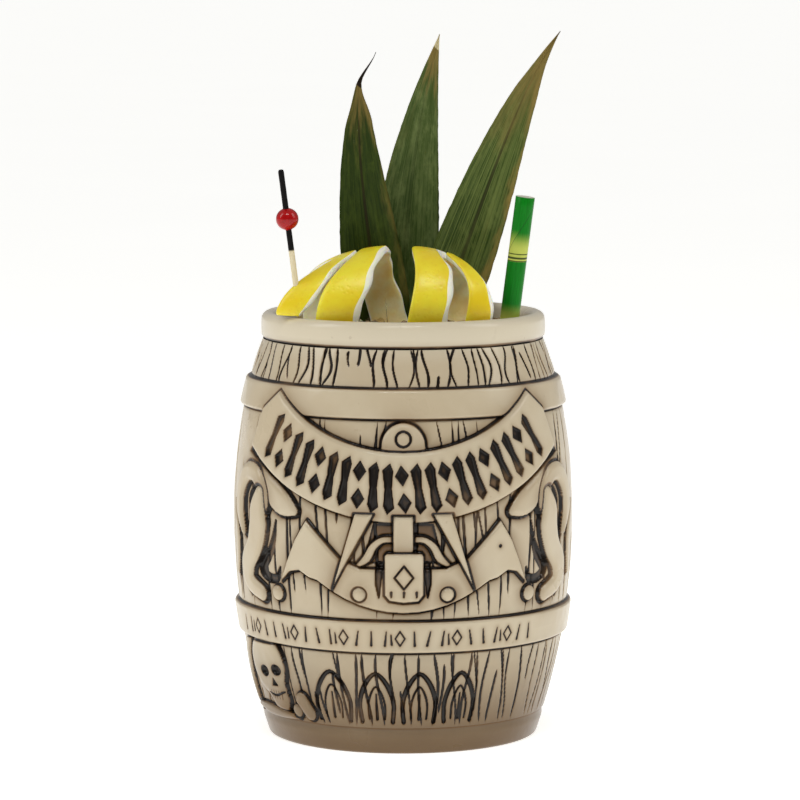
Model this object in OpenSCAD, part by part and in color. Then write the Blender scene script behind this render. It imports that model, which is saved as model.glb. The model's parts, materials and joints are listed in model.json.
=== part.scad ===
// Barrel-shaped ceramic tiki mug with its drink garnish: a paper straw, a beaded cocktail pick,
// a spiral of lemon peel and three pineapple fronds. The origin is the centre of the foot,
// +Z is up and the carved front faces -Y. Millimetres.

/* [Mug] */
// Height of the mug from the foot to the top of the lip
mug_h = 134; // [126:1:142]
// Outer radius of the barrel at its widest ring
belly_r = 53.6; // [51:0.1:56]
// Outer radius of the foot
foot_r = 42.5; // [41:0.1:43.5]
// Wall thickness of the slip-cast body
wall = 4.8; // [4.2:0.1:5.2]
// Thickness of the floor
floor_t = 6.5; // [5:0.1:8]
// How far the hoops stand out from the staves
hoop_h = 1.4; // [1:0.1:1.8]
// How far the carved front stands out from the staves
relief_h = 1.3; // [0.8:0.1:1.6]

/* [Straw] */
// Outer diameter of the paper straw
straw_d = 6; // [5.5:0.1:6.4]
// Thickness of the rolled paper
straw_wall = 0.4; // [0.3:0.05:0.6]
// Length of the straw
straw_l = 165; // [150:1:180]

/* [Pick] */
// Diameter of the bamboo stick
pick_d = 1.8; // [1.5:0.1:2]
// Length of the bamboo stick
pick_l = 80; // [76:1:82]
// Diameter of the bead
bead_d = 7; // [6:0.1:8]

/* [Lemon peel] */
// Thickness of the rind with its pith
rind_t = 2.6; // [2.2:0.1:2.8]
// Width of the cut band
rind_w = 11; // [10:0.1:11.2]
// Radius of the lemon at the middle of the rind
lemon_r = 18.4; // [17:0.1:18.6]

/* [Fronds] */
// Thickness of a pineapple frond
frond_t = 1.2; // [1:0.1:1.5]
// Radius of the trough across a frond
trough_r = 15; // [14:0.5:18]

/* [Hidden] */
$fn = 64;

// Barrel outline: a full belly that falls away faster above than below.
belly_z = 0.52 * mug_h;
span_z = 60;
function above(u) = 8.57 * u * u + 2.53 * pow(u, 4);
function below(u) = 7.4 * u * u + pow(u, 4);
function side_r(z) = let (u = (z - belly_z) / span_z) belly_r - (u > 0 ? above(u) : below(u));

// Heights of the bands that ring the barrel
base_top = 7.5;
lower_hoop = [33, 43];
upper_hoop = [mug_h - 29, mug_h - 20];
rim_band = mug_h - 8;
lip_r = side_r(rim_band) + 0.7;
lip_round = wall / 2;
foot_recess_r = foot_r - 6.5;
foot_recess_h = 1.6;
side_steps = 12;
groove = 0.7;
edge = 0.8;

function side_points(z0, z1, grow, steps) =
    [for (i = [0 : steps]) let (z = z0 + (z1 - z0) * i / steps) [side_r(z) + grow, z]];

// Lip: a half round over the top of the wall
function lip_points(steps) =
    [for (i = [0 : steps]) let (a = 180 * i / steps)
        [lip_r - lip_round + lip_round * cos(a), mug_h - lip_round + lip_round * sin(a)]];

// Inside of the bowl, from the lip down to a rounded floor corner
floor_round = 8;
floor_corner = side_r(floor_t + floor_round) - wall - floor_round;
function bowl_points() = concat(
    [for (i = [0 : side_steps]) let (z = rim_band - (rim_band - floor_t - floor_round) * i / side_steps)
        [side_r(z) - wall, z]],
    [for (a = [15 : 15 : 90])
        [floor_corner + floor_round * cos(a), floor_t + floor_round * (1 - sin(a))]],
    [[0, floor_t]]);

function outer_points() = concat(
    [[0, foot_recess_h], [foot_recess_r, foot_recess_h], [foot_recess_r + foot_recess_h, 0],
     [foot_r - edge, 0], [foot_r, edge], [side_r(base_top) - 0.2, base_top - edge],
     [side_r(base_top) - groove, base_top], [side_r(base_top) - groove, base_top + edge]],
    side_points(base_top + 2 * edge, rim_band - edge, 0, 2 * side_steps),
    [[lip_r, rim_band]]);

module hoop(zone) {
    rotate_extrude()
        polygon(concat(
            [[side_r(zone[0]) - 1, zone[0]], [side_r(zone[0]) + hoop_h - edge / 2, zone[0]]],
            side_points(zone[0] + edge / 2, zone[1] - edge / 2, hoop_h, 3),
            [[side_r(zone[1]) + hoop_h - edge / 2, zone[1]], [side_r(zone[1]) - 1, zone[1]]]));
}

// A skin over the staves that a front outline is cut from
module relief(rise, z0, z1) {
    intersection() {
        rotate_extrude()
            polygon(concat(side_points(z0, z1, rise, 6),
                [for (i = [6 : -1 : 0]) let (z = z0 + (z1 - z0) * i / 6) [side_r(z) - 1, z]]));
        rotate([90, 0, 0])
            linear_extrude(belly_r + 10)
                children();
    }
}

// Outlines of the carved front, in x and z
banner_half = 41;
banner_z = 95;
banner_drop = 21;
function smile(x) = 13.5 * pow(x / banner_half, 2);
module banner_outline() {
    polygon(concat(
        [for (i = [-6 : 6]) let (x = banner_half * 0.92 * i / 6) [x, banner_z + smile(x)]],
        [for (i = [6 : -1 : -6]) let (x = banner_half * 1.06 * i / 6) [x, banner_z - banner_drop + smile(x)]]));
}

module shield_outline() {
    polygon(concat(
        [for (i = [-6 : 6]) let (a = 6.5 * i) [55 * sin(a) * 1.05, 99.5 - 54 * cos(a)]],
        [[30, 75], [24, 60], [0, 53], [-24, 60], [-30, 75]]));
}

module blade_outline(dir) {
    polygon([[dir * 9, 75], [dir * 14.4, 75], [dir * 21.8, 53]]);
}

module scroll_outline(dir) {
    translate([dir * 44, 82])
        circle(6.5);
    translate([dir * 45.5, 66])
        circle(7.5);
    translate([dir * 43.5, 52])
        circle(5);
}

module skull_outline() {
    difference() {
        translate([-35, 21])
            circle(7.5);
        translate([-38, 22.5])
            circle(1.7);
        translate([-32.6, 22.5])
            circle(1.7);
    }
}

module carving() {
    relief(relief_h + 0.6, 73, 113)
        banner_outline();
    relief(relief_h + 0.9, 92, 105)
        translate([0, 97])
            circle(6.8);
    relief(relief_h, 44, 76)
        shield_outline();
    for (dir = [-1, 1]) {
        relief(relief_h + 0.3, 52, 76)
            blade_outline(dir);
        relief(relief_h, 46, 90)
            scroll_outline(dir);
        relief(relief_h + 1, 48, 55)
            translate([dir * 13.5, 51.4])
                circle(2.4);
    }
    relief(relief_h, 50, 78)
        translate([-3.2, 49])
            square([6.4, 30]);
    relief(relief_h + 0.4, 49, 65)
        translate([-6.2, 50])
            square([12.4, 14]);
    relief(relief_h, 12, 31)
        skull_outline();
}

module mug_body() {
    color("#d9cdaf") {
        rotate_extrude($fn = 128)
            polygon(concat(outer_points(), lip_points(8), bowl_points()));
        hoop(lower_hoop);
        hoop(upper_hoop);
        carving();
    }
}

// The straw stands on the floor and leans on the inside of the lip.
straw_foot = [17.6, -8, floor_t + 0.9];
straw_lean = [7.1, 3.2];
module along_straw() {
    translate(straw_foot)
        rotate([straw_lean[1], straw_lean[0], 0])
            children();
}

module paper_straw() {
    color("#4f7a34")
        along_straw()
            difference() {
                cylinder(h = straw_l, d = straw_d);
                translate([0, 0, -1])
                    cylinder(h = straw_l + 2, d = straw_d - 2 * straw_wall);
            }
}

// The pick goes down through the outer end of the peel. It leans forward and to the left.
pick_foot = [-27.7, -19.4, mug_h - 33];
pick_lean = [6.6, -7.1];
bead_at = 64.5;
module along_pick() {
    translate(pick_foot)
        rotate([pick_lean[0], pick_lean[1], 0])
            children();
}

module pick_stick() {
    color("#2b2620")
        along_pick() {
            cylinder(h = 3, d1 = 0.4, d2 = pick_d);
            translate([0, 0, 3])
                cylinder(h = pick_l - 3, d = pick_d);
        }
}

module pick_bead() {
    color("#c3121c")
        along_pick()
            translate([0, 0, bead_at])
                difference() {
                    sphere(d = bead_d);
                    translate([0, 0, -bead_d])
                        cylinder(h = 2 * bead_d, d = pick_d);
                }
}

// Lemon peel: one band cut round the fruit from end to end, which winds along X like a spring.
// Its turns fan out: they are drawn together at the top and spread at the bottom. The second
// turn stands clear of the first, whose end lies over the lip. peel_wider is how much wider
// each turn is cut at the front, most of all at the angle peel_face.
peel_mid = [-3, -12.1, mug_h + 1.8];
lemon_half = 47.7;
lemon_mid = 2;
peel_start = -4;
peel_sweep = 1170;
peel_pitch = 17.2;
peel_first = -28.3;
peel_sway = 4.3;
peel_shift = 5;
peel_wider = [0.8, 0.2, 0.05, 0];
peel_face = 15;
peel_steps = 96;
clear = 0.1;
function peel_angle(t) = peel_start + peel_sweep * t;
function peel_taper(t) = min(1, 0.4 + 4.5 * t, 0.3 + 5.2 * (1 - t));
function peel_front(a) = 1 + peel_wider[max(0, round(a / 360))] * pow(max(0, cos(a - peel_face)), 6);
function peel_end(n) = n > 0 && n < 1 ? peel_shift * pow(sin(180 * sqrt(n)), 2) : 0;
function peel_along(n) = peel_first + peel_pitch * n - peel_sway * sin(120 * n) + peel_end(n);
function peel_fan(a) = 1.18 - 0.48 * pow((1 + sin(a)) / 2, 6) - 0.12 * pow((1 - sin(a)) / 2, 2);
function lemon_at(x) = lemon_r * sqrt(1 - pow((x - lemon_mid) / lemon_half, 2));
function peel_point(t, r, w) =
    let (a = peel_angle(t), fan = peel_fan(a),
         x = peel_along(a / 360) + w * peel_taper(t) * peel_front(a) * (1 + 1 / fan) / 2,
         g = lemon_at(x) + r)
        [peel_mid[0] + x * fan, peel_mid[1] - g * cos(a), peel_mid[2] + g * sin(a)];
function peel_ring(t) = [
    peel_point(t, -rind_t / 2, -rind_w / 2), peel_point(t, rind_t / 2, -rind_w / 2),
    peel_point(t, rind_t / 2, 0), peel_point(t, rind_t / 2, rind_w / 2),
    peel_point(t, -rind_t / 2, rind_w / 2), peel_point(t, -rind_t / 2, 0)];

module lemon_peel() {
    sides = 6;
    points = [for (i = [0 : peel_steps]) each peel_ring(i / peel_steps)];
    last = sides * peel_steps;
    walls = [for (i = [0 : peel_steps - 1], j = [0 : sides - 1])
        let (a = sides * i + j, b = sides * i + (j + 1) % sides)
            each [[a, b + sides, b], [a, a + sides, b + sides]]];
    start = [for (j = [1 : sides - 2]) [0, j, j + 1]];
    end = [for (j = [1 : sides - 2]) [last, last + j + 1, last + j]];
    color("#e8c93a")
        difference() {
            polyhedron(points = points, faces = concat(walls, start, end));
            along_pick()
                cylinder(h = pick_l, d = pick_d + clear);
        }
}

// Fronds: a trough-shaped strip cut to a long pointed outline. Each is set by its foot, its
// lean to the side, its length, its half width, and how far and how late its tip bends.
frond_steps = 12;
frond_wide = 0.45;
function frond_half(s, half) =
    half * (s < frond_wide ? 0.8 + 0.2 * s / frond_wide : 1 - pow((s - frond_wide) / (1 - frond_wide), 1.6));
function frond_edge(s, len, half, bend, late) = [bend * pow(s, late) + frond_half(s, half), len * s];
module frond(foot, lean, len, half, bend, late) {
    translate(foot)
        rotate([0, lean, 0])
            intersection() {
                translate([0, -trough_r, 0])
                    difference() {
                        cylinder(h = len, r = trough_r + frond_t);
                        translate([0, 0, -1])
                            cylinder(h = len + 2, r = trough_r);
                    }
                rotate([90, 0, 0])
                    translate([0, 0, -frond_t - 1])
                        linear_extrude(trough_r)
                            polygon(concat(
                                [for (i = [0 : frond_steps])
                                    frond_edge(i / frond_steps, len, -half, bend, late)],
                                [for (i = [frond_steps - 1 : -1 : 0])
                                    frond_edge(i / frond_steps, len, half, bend, late)]));
            }
}

module frond_left() {
    color("#3d4a22")
        frond([0, 13, mug_h - 56], -8, 137, 10.2, 8, 8);
}

module frond_middle() {
    color("#46562a")
        frond([-0.8, 27.5, mug_h - 52], 0, 138.5, 11, 12.5, 3);
}

module frond_right() {
    color("#4a5a2c")
        frond([-5, 19, mug_h - 52], 19.5, 150, 10.2, 5.3, 8);
}

mug_body();
paper_straw();
pick_stick();
pick_bead();
lemon_peel();
frond_left();
frond_middle();
frond_right();
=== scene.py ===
import json
import math
import random

import bmesh
import bpy
import numpy as np
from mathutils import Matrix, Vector


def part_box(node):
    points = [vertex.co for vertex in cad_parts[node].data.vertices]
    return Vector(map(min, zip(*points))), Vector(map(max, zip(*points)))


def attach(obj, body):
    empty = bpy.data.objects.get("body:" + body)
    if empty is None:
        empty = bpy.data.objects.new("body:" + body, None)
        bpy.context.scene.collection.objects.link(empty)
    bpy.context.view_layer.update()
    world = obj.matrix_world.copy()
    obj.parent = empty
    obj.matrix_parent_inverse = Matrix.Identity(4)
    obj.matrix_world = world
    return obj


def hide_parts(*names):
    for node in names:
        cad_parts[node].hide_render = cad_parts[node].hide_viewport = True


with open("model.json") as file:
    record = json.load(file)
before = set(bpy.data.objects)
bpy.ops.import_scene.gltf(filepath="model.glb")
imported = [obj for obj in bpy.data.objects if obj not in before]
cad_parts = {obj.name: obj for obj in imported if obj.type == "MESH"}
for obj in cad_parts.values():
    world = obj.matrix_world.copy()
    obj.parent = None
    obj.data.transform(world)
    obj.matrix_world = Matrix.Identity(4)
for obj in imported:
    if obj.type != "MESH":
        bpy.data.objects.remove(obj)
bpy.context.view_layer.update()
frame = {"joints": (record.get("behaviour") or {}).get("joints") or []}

MM = 0.001


# ---------------- driving sizes, from the frame

MUG_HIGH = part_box("mug_body")[1]
MUG_H = MUG_HIGH.z / MM
BELLY_R = MUG_HIGH.x / MM
BELLY_Z = 0.52 * MUG_H
SPAN_Z = 60.0  # height over which the staves curve in from the belly
WALL = 4.8
FLOOR_T = 6.5
FOOT_R = 42.5
BASE_TOP = 7.5
LOWER_HOOP = (33.0, 43.0)
UPPER_HOOP = (MUG_H - 29, MUG_H - 20)
RIM_BAND = MUG_H - 8
HOOP_H = 1.4
RECESS_R = FOOT_R - 6.5
RECESS_H = 1.6


def side_r(z):
    """Radius of the barrel's staves at height z."""
    u = (np.asarray(z, float) - BELLY_Z) / SPAN_Z
    return BELLY_R - np.where(u > 0, 8.57 * u**2 + 2.53 * u**4, 7.4 * u**2 + u**4)


LIP_R = float(side_r(RIM_BAND)) + 0.7
LIP_ROUND = WALL / 2
TURN = 2 * math.pi * BELLY_R


# ---------------- mesh helpers


def smoothstep(x, low, high):
    t = np.clip((x - low) / (high - low), 0, 1)
    return t * t * (3 - 2 * t)


def add_object(name, data):
    item = bpy.data.objects.new(name, data)
    bpy.context.collection.objects.link(item)
    return item


def make_piece(name, points, faces, attributes, material, body, replaced):
    """One mesh object from points in millimetres, riding on a body and standing for CAD nodes."""
    mesh = bpy.data.meshes.new(name)
    mesh.from_pydata((np.asarray(points, float) * MM).tolist(), [], faces)
    for key, values in attributes.items():
        values = np.asarray(values, np.float32)
        kind = "FLOAT" if values.ndim == 1 else "FLOAT_VECTOR"
        layer = mesh.attributes.new(key, kind, "POINT")
        layer.data.foreach_set("value" if values.ndim == 1 else "vector", values.ravel())
    mesh.shade_smooth()
    mesh.validate()
    piece = add_object(name, mesh)
    mesh.materials.append(material)
    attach(piece, body)
    if replaced:
        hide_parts(*replaced)


def ring_faces(rows, columns):
    """Quads of a rows by columns grid, whose rows are closed rings."""
    return [
        (i * columns + j, i * columns + (j + 1) % columns,
         (i + 1) * columns + (j + 1) % columns, (i + 1) * columns + j)
        for i in range(rows - 1) for j in range(columns)
    ]


def lattice(u, z, cell_u, cell_z, seed):
    """Smooth value noise from -1 to 1, with a whole number of cells about cell_u wide in one turn."""
    rng = np.random.default_rng(seed)
    count, high = int(TURN / cell_u), 64
    table = rng.uniform(-1, 1, (count, high))
    a, b = u / (TURN / count), z / cell_z
    i, j = np.floor(a).astype(int), np.floor(b).astype(int)
    s, t = smoothstep(a - i, 0, 1), smoothstep(b - j, 0, 1)
    below = table[i % count, j % high] * (1 - s) + table[(i + 1) % count, j % high] * s
    above = table[i % count, (j + 1) % high] * (1 - s) + table[(i + 1) % count, (j + 1) % high] * s
    return below * (1 - t) + above * t


# ---------------- signed distances for the carving
# Carving is drawn on the unrolled barrel: u runs round it in millimetres from the front, z is height.


def sd_polygon(u, z, points):
    """Signed distance to a closed outline, negative inside."""
    best = np.full(u.shape, 1e9)
    inside = np.zeros(u.shape, bool)
    for (ax, az), (bx, bz) in zip(points, points[1:] + points[:1]):
        ex, ez = bx - ax, bz - az
        wx, wz = u - ax, z - az
        t = np.clip((wx * ex + wz * ez) / (ex * ex + ez * ez), 0, 1)
        best = np.minimum(best, np.hypot(wx - t * ex, wz - t * ez))
        if az != bz:
            inside ^= ((az > z) != (bz > z)) & (u < ax + (z - az) * ex / ez)
    return np.where(inside, -best, best)


def sd_stroke(u, z, path):
    """Signed distance to a stroke through (u, z, radius) points."""
    best = np.full(u.shape, 1e9)
    for (ax, az, ar), (bx, bz, br) in zip(path, path[1:]):
        ex, ez = bx - ax, bz - az
        t = np.clip(((u - ax) * ex + (z - az) * ez) / max(ex * ex + ez * ez, 1e-9), 0, 1)
        best = np.minimum(best, np.hypot(u - ax - t * ex, z - az - t * ez) - (ar + t * (br - ar)))
    return best


def sd_disc(u, z, cu, cz, r):
    return np.hypot(u - cu, z - cz) - r


def curve_through(points, steps):
    """Catmull-Rom curve through (u, z, radius) points."""
    p = [points[0]] + list(points) + [points[-1]]
    out = []
    for a, b, c, d in zip(p, p[1:], p[2:], p[3:]):
        for k in range(steps):
            t = k / steps
            out.append(tuple(
                0.5 * (2 * b[i] + (c[i] - a[i]) * t + (2 * a[i] - 5 * b[i] + 4 * c[i] - d[i]) * t**2
                       + (3 * b[i] - a[i] - 3 * c[i] + d[i]) * t**3) for i in range(3)))
    return out + [tuple(points[-1])]


def sd_curve(u, z, points, steps=6):
    """Signed distance to a stroke along the curve through (u, z, radius) points."""
    return sd_stroke(u, z, curve_through(points, steps))


# How far the brown wash, partly painted shade, reaches out from a raised shape.
SHADE_WASH_REACH = 2.6


class Carving:
    """Height over the staves, dark stain, and a brown wash that is partly painted shade, built up shape
    by shape.
    """

    def __init__(self, u, z):
        self.u, self.z = u, z
        self.h = np.zeros(u.shape)
        self.stain = np.zeros(u.shape)
        self.wash_and_shade = np.zeros(u.shape)

    def raised(self, d, height, bevel=1.0, moat=0.5, moat_depth=0.5):
        """A raised shape with rounded shoulders, a dark line round its foot, and outside it a brown wash
        that is partly painted shade.
        """
        inside = d < 0
        t = np.clip((d + bevel) / bevel, 0, 1)
        top = height * (0.1 + 0.9 * np.sqrt(np.clip(1 - t * t, 0, 1)))
        rim = np.exp(-(((d - 0.1) / moat) ** 2))
        near = np.exp(-np.clip(d, 0, None) / SHADE_WASH_REACH)
        self.h = np.where(inside, top, self.h - moat_depth * rim)
        edge_line = 0.7 * np.exp(-((d / 0.22) ** 2))
        self.stain = np.where(inside, edge_line, np.maximum(self.stain, rim))
        # Painted shade: brown wash darkens the staves round the shape's foot and just inside its edge.
        self.wash_and_shade = np.where(inside, 0.25 * np.exp(d / 0.5), np.maximum(self.wash_and_shade, near))

    def cut(self, d, depth, soft=0.4, dark=1.0):
        """A cut with sloping walls, darkest along its walls."""
        inside = -d
        self.h -= depth * smoothstep(inside, -0.1, soft)
        floor = 0.5 + 0.5 * np.exp(-np.clip(inside - 0.25, 0, None) / 0.4)
        self.stain = np.maximum(self.stain, dark * floor * smoothstep(inside, -0.12, 0.18))
        # Painted shade: brown wash darkens the surface beside the cut.
        self.wash_and_shade = np.maximum(self.wash_and_shade, 0.6 * np.exp(-np.clip(d, 0, None) / 0.6))


# ---------------- carved shapes

BANNER_TOP, BANNER_LOW = 95.2, 73.6
BANNER_TOP_CURVE, BANNER_LOW_CURVE = 0.0081, 0.0063
BANNER_TOP_HALF, BANNER_LOW_HALF = 46.0, 57.4
BANNER_END_U, BANNER_END_Z = 53.4, 106.6


def banner_outline():
    """A sash that hangs in a curve, with slightly bowed ends."""
    count = 20
    top = [BANNER_TOP_HALF * (2 * i / count - 1) for i in range(count + 1)]
    low = [BANNER_LOW_HALF * (1 - 2 * i / count) for i in range(count + 1)]
    outline = [(u, BANNER_TOP + BANNER_TOP_CURVE * u * u) for u in top] + [(BANNER_END_U, BANNER_END_Z)]
    outline += [(u, BANNER_LOW + BANNER_LOW_CURVE * u * u) for u in low]
    return outline + [(-BANNER_END_U, BANNER_END_Z)]


def plate_outline():
    """A shallow crescent with a horn at each side."""
    side = [(-13.0, 59.5), (-20.0, 62.4), (-31.2, 73.6), (-35.6, 67.0), (-38.6, 60.5),
            (-41.8, 53.2), (-37.6, 56.9), (-34.1, 57.6), (-30.4, 55.6)]
    half, count = 27.5, 12
    across = [half * (2 * i / count - 1) for i in range(count + 1)]
    arc = [(u, 45.7 + 0.0122 * u**2) for u in across]
    return side + arc + [(-u, z) for u, z in reversed(side)]


def turned(points, cu, cz, tilt):
    """Points turned by tilt and moved to (cu, cz)."""
    c, s = math.cos(tilt), math.sin(tilt)
    return [(cu + x * c - y * s, cz + x * s + y * c) for x, y in points]


def carve_banner(clay):
    """The sash, with a plain row of pointed bars and pairs of diamonds cut in it."""
    u, z = clay.u, clay.z
    clay.raised(sd_polygon(u, z, banner_outline()), 2.3, bevel=1.5)
    bar = [(-1.5, 5.8), (0.9, 7.8), (1.75, 5.4), (1.1, 0),
           (1.5, -6.0), (-0.7, -7.8), (-1.75, -5.2), (-1.1, 0)]
    diamond = [(0, 3.3), (2.1, 0), (0, -3.3), (-2.1, 0)]
    count, reach = 21, 47.0
    middle, curve = (BANNER_TOP + BANNER_LOW) / 2 - 0.3, (BANNER_TOP_CURVE + BANNER_LOW_CURVE) / 2
    for k in range(count):
        cu = reach * (2 * (k + 0.5) / count - 1)
        place = (cu, middle + curve * cu * cu, math.atan(1.6 * curve * cu) + 0.1)
        if k % 3 == 1:
            for lift in (4.2, -4.2):
                clay.cut(sd_polygon(u, z, turned([(x, y + lift) for x, y in diamond], *place)), 1.1)
        else:
            clay.cut(sd_polygon(u, z, turned(bar, *place)), 1.3)


def carve_tab(clay):
    """The round tab with a ring in it, that the sash hangs from."""
    u, z = clay.u, clay.z
    foot = sd_polygon(u, z, [(-6.9, 97), (6.9, 97), (8, 92), (-8, 92)])
    clay.raised(np.minimum(sd_disc(u, z, 0, 97.2, 6.9), foot), 1.7, bevel=1.4, moat=0.8)
    clay.cut(np.abs(sd_disc(u, z, 0, 99.2, 2.3)) - 0.42, 0.6)


def carve_plate(clay):
    """The horned plate with its arch, blades, studs, bar and block."""
    u, z = clay.u, clay.z
    clay.cut(sd_polygon(u, z, [(-12.5, 61), (-9.4, 73.4), (9.4, 73.4), (12.5, 61)]), 0.5, dark=0.75)
    arch = [(14.2, 60.2, 0.6), (11.2, 62.6, 1.3), (9.2, 66.2, 1.2), (6.4, 68.4, 1.0), (3.0, 68.6, 1.0)]
    for side in (-1, 1):
        clay.raised(sd_curve(side * u, z, arch, 4), 1.4, moat=0.7)
    clay.raised(sd_polygon(u, z, plate_outline()), 1.6, bevel=1.2)
    for side in (-1, 1):
        gap = [(side * 7.4, 50.8, 0.35), (side * 7.6, 55.0, 1.0), (side * 7.2, 60.5, 1.3)]
        clay.cut(sd_stroke(u, z, gap), 1.3)
        blade = [(side * 8.8, 76.5), (side * 14.8, 76.5), (side * 22.2, 52.4)]
        clay.raised(sd_polygon(u, z, blade), 2.1, bevel=1.0)
        clay.raised(sd_disc(u, z, side * 13.6, 51.4, 2.2), 2.0, bevel=1.8, moat=0.4)
    clay.raised(sd_polygon(u, z, [(-3.1, 62), (3.1, 62), (3.1, 76), (-3.1, 76)]), 1.7)
    block = [(-5.7, 63.6), (-5.0, 64.4), (5.6, 64.4), (6.2, 63.6), (6.2, 51.4), (4.6, 49.4), (0, 49.0),
             (-4.2, 49.6), (-5.7, 51.4)]
    clay.raised(sd_polygon(u, z, block), 2.2, bevel=1.1)
    diamond = [(0.2, 60.6), (3.0, 57.0), (0.2, 53.4), (-2.6, 57.0)]
    clay.cut(np.abs(sd_polygon(u, z, diamond)) - 0.35, 0.8)
    for cu in (-3.6, 0.2, 4.0):
        clay.cut(sd_stroke(u, z, [(cu, 51.0, 0.3), (cu, 52.4, 0.45)]), 0.5)
    clay.cut(sd_disc(u, z, 30.6, 65.6, 0.6), 0.4)


def carve_scroll(clay, side):
    """A plain leafy scroll: a loop and a leaf above, a swelling stem and a knobbed foot."""
    u, z = side * clay.u, clay.z
    leaf = [(60.0, 92.0, 0.5), (50.0, 84.6, 3.0), (42.0, 78.6, 4.2), (36.0, 75.8, 1.6)]
    loop = [(62.0, 67.0, 1.4), (64.6, 73.0, 2.6), (64.6, 80.0, 3.1), (60.4, 85.6, 3.2),
            (54.4, 85.4, 3.0), (50.6, 80.6, 2.8), (49.6, 76.0, 2.4)]
    stem = [(52.0, 80.0, 2.2), (53.0, 75.0, 4.0), (52.8, 69.4, 4.6), (54.6, 63.4, 4.3),
            (59.0, 57.6, 4.2), (58.4, 51.6, 3.4), (51.6, 48.6, 2.7)]
    trail = [(71.5, 76.0, 0.5), (69.0, 68.0, 1.6), (68.5, 60.0, 1.9), (69.5, 53.0, 0.8)]
    hollow = [(44.4, 72.0, 0.5), (45.6, 66.0, 1.2), (48.0, 61.0, 1.8), (51.6, 56.4, 2.1),
              (48.2, 53.8, 1.7), (44.2, 54.2, 1.4), (42.6, 57.6, 0.5)]
    cuts = (
        ([(56.4, 82.0, 0.5), (58.4, 78.0, 1.7), (58.6, 73.0, 1.3), (60.2, 67.0, 0.5)], 1.1),
        ([(64.0, 56.0, 0.3), (63.2, 51.0, 1.0), (60.0, 46.8, 0.5)], 0.8),
        ([(46.6, 77.4, 0.2), (47.6, 73.8, 0.5), (47.0, 70.0, 0.2)], 0.5),
    )
    clay.raised(sd_curve(u, z, trail), 0.9, bevel=1.4, moat=0.4)
    clay.raised(sd_curve(u, z, leaf), 1.5, bevel=2.2, moat=0.9)
    clay.cut(sd_curve(u, z, hollow), 1.1)
    clay.raised(sd_curve(u, z, loop), 1.7, bevel=2.0, moat=0.9)
    clay.raised(sd_curve(u, z, stem), 1.8, bevel=2.2, moat=0.9)
    clay.raised(sd_disc(u, z, 43.6, 49.6, 2.5), 1.5, bevel=2.1)
    for path, depth in cuts:
        clay.cut(sd_curve(u, z, path), depth)


def carve_skull(clay):
    """A plain skull wrapped in a cloth, at the lower left."""
    u, z = clay.u, clay.z
    cloth = [(-70.0, 9.6, 1.6), (-72.0, 18.0, 2.2), (-70.0, 27.0, 2.4), (-66.5, 32.5, 2.0)]
    lap = [(-70.0, 10.5, 1.2), (-60.0, 10.2, 2.0), (-50.0, 9.8, 1.5), (-42.0, 9.6, 0.8)]
    brow = sd_disc(u, (z - 25.4) * 0.98 + 25.4, -54.6, 25.4, 9.8)
    jaw = sd_stroke(u, z, [(-52.0, 19.5, 6.4), (-50.0, 15.0, 4.9)])
    clay.raised(sd_curve(u, z, cloth), 1.1, bevel=1.6)
    clay.raised(np.minimum(brow, jaw), 1.8, bevel=3.4, moat=1.0, moat_depth=0.8)
    clay.raised(sd_curve(u, z, lap), 1.3, bevel=1.6, moat=0.4)
    for cu, cz, wide in ((-54.9, 23.4, 0.72), (-48.3, 24.4, 0.78)):
        clay.cut(np.hypot((u - cu) * wide, z - cz) - 1.85, 1.4, soft=0.8)
    clay.cut(sd_polygon(u, z, [(-50.6, 21.8), (-48.2, 19.2), (-51.8, 19.0)]), 1.0)
    clay.cut(sd_curve(u, z, [(-54.4, 16.6, 0.25), (-50.4, 16.0, 0.4), (-46.4, 17.4, 0.35)]), 0.6)
    for k in range(5):
        cu = -53.0 + 1.4 * k
        clay.cut(sd_stroke(u, z, [(cu, 14.9, 0.16), (cu, 17.5, 0.16)]), 0.35, dark=0.8)
    clay.cut(sd_stroke(u, z, [(-61.4, 19.0, 0.3), (-59.0, 16.6, 0.8), (-57.8, 14.0, 0.3)]), 0.8)
    clay.cut(sd_stroke(u, z, [(-65.0, 26.4, 0.3), (-64.8, 22.4, 0.6), (-63.8, 19.6, 0.3)]), 0.7)
    clay.raised(sd_stroke(u, z, [(-38.6, 15.4, 2.9), (-35.8, 11.8, 2.6)]), 1.7, bevel=2.4)
    clay.raised(sd_disc(u, z, -41.8, 12.0, 2.2), 1.2, bevel=1.8)


def carve_arches(clay):
    """Plain lancet arches, low on the front."""
    u, z = clay.u, clay.z
    for cu, half in ((-25.6, 6.6), (-9.4, 6.0), (5.6, 5.8), (20.0, 5.4)):
        clay.cut(sd_stroke(u, z, [(cu, 11.5, 0.6), (cu, 19.5, 0.35)]), 0.8)
        for grow, width, low in ((1.0, 0.85, 10.6), (0.5, 0.4, 11.5)):
            a, rise = half * grow, 15.6 * (0.35 + 0.65 * grow)
            leg = [(0.94, 0), (1.0, 0.4), (0.62, 0.78)]
            arch = [(cu - a * x, low + rise * y, width) for x, y in leg]
            arch.append((cu, low + rise, width * 0.8))
            arch += [(cu + a * x, low + rise * y, width) for x, y in reversed(leg)]
            clay.cut(sd_curve(u, z, arch, 4), 0.9)


GRAIN_ZONES = (
    # low z, high z, spacing, share of strokes that run right through, seed
    (BASE_TOP + 1.2, LOWER_HOOP[0] + 0.2, 3.8, 0.7, 11),
    (LOWER_HOOP[1] - 0.2, UPPER_HOOP[0] + 0.2, 4.0, 0.5, 23),
    (UPPER_HOOP[1] - 0.2, RIM_BAND + 0.2, 3.6, 0.75, 37),
)
FORK_SHARE = 0.25
STROKE_REACH = 11.0  # no stroke strays further than this from its place


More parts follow.
